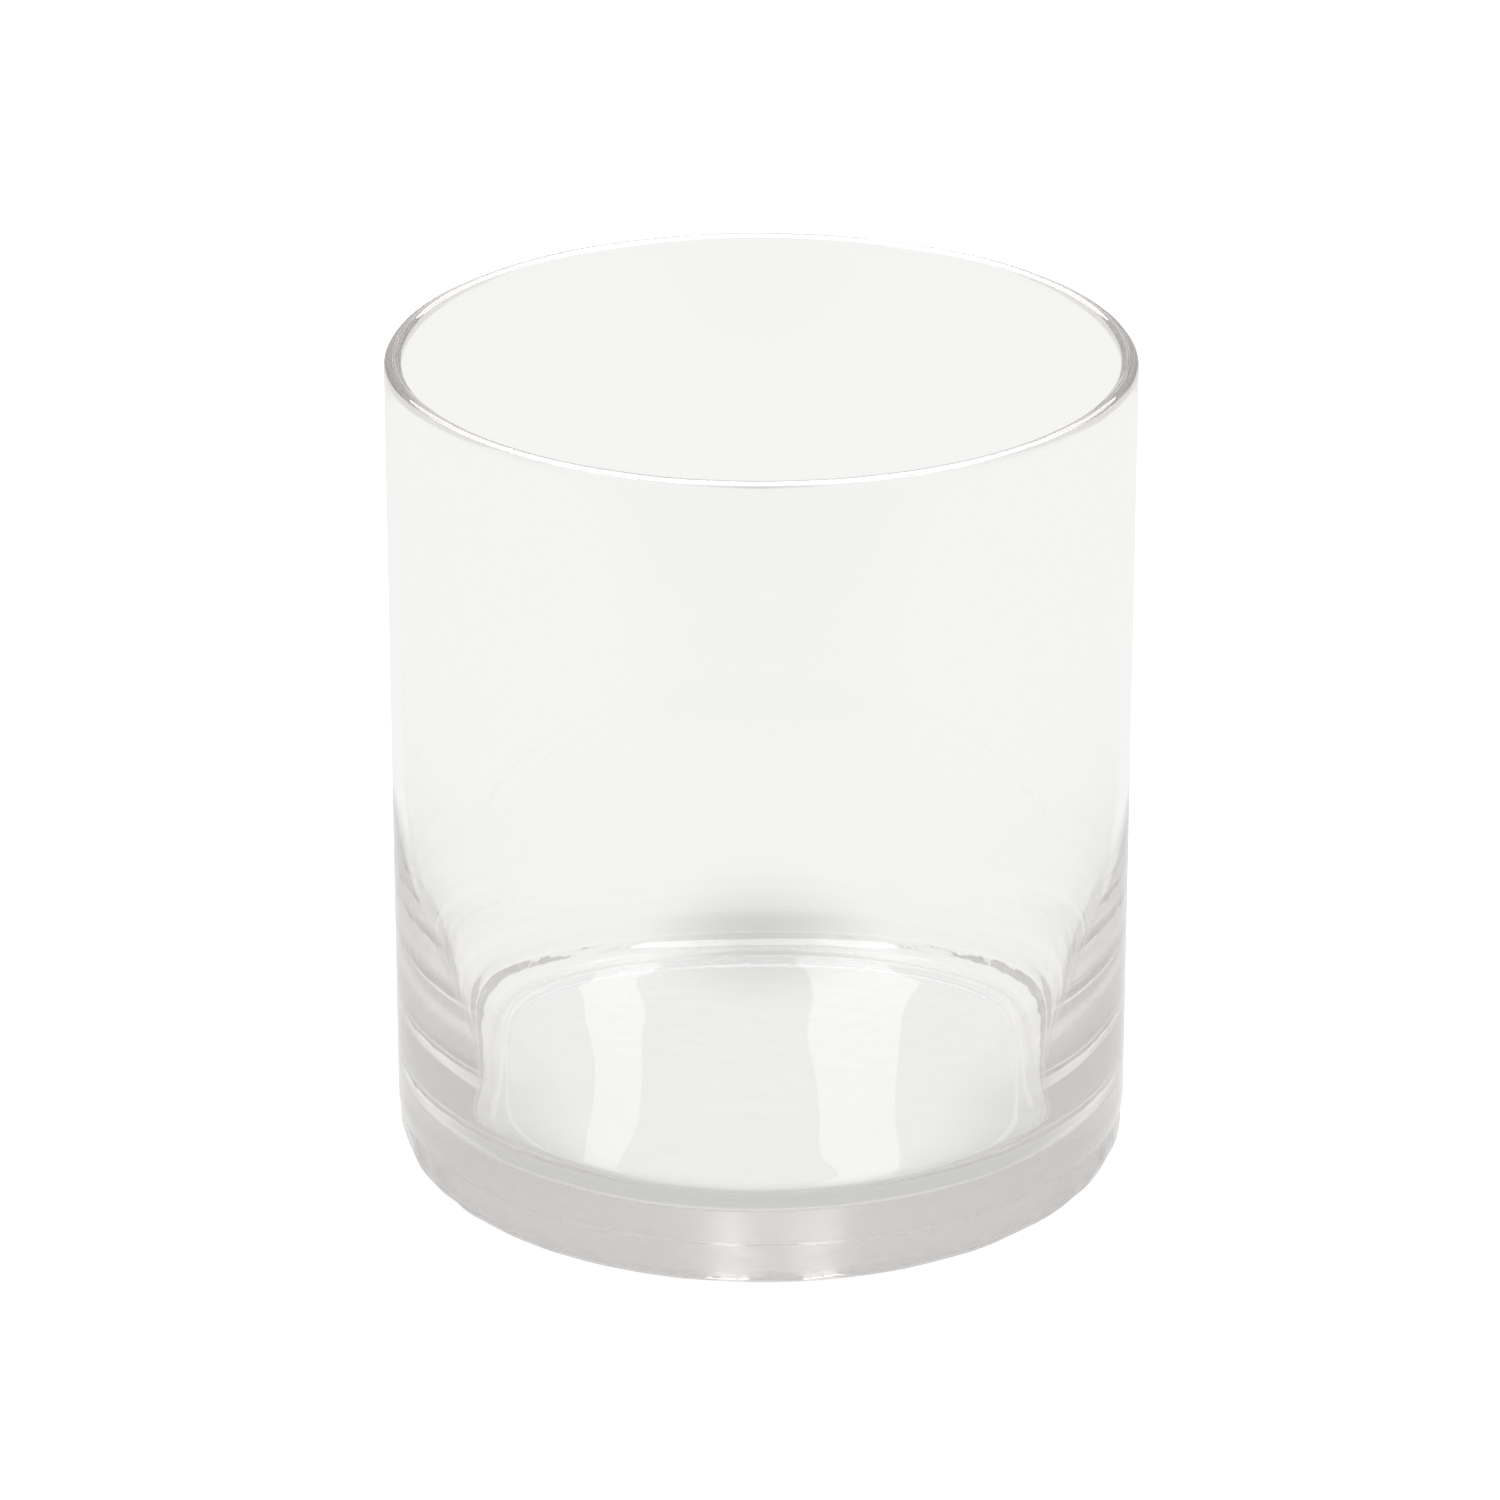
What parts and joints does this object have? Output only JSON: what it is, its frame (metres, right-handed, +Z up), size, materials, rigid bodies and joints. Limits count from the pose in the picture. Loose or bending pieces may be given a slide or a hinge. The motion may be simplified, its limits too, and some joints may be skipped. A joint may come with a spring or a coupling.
{
  "type": "glass cylinder vase",
  "caption": "Clear straight-sided glass cylinder vase with a heavy solid base, a rounded heel and a fire-polished rim, open at the top.",
  "frame": {"origin": "centre of the ring that the vase stands on, in the table's plane", "axes": "+Z up along the vase's axis, out of the mouth; X and Y are free, because the vase is a solid of revolution"},
  "size_m": [0.13, 0.13, 0.1485],
  "materials": {
    "clear_glass": "clear colourless glass, fire-polished and glossy, with a very faint grey tint in the thick base"
  },
  "bodies": {
    "root": {"foot_ring": "clear_glass", "base_disc": "clear_glass", "lower_wall": "clear_glass", "side_wall": "clear_glass", "rim_bead": "clear_glass"}
  },
  "joints": []
}
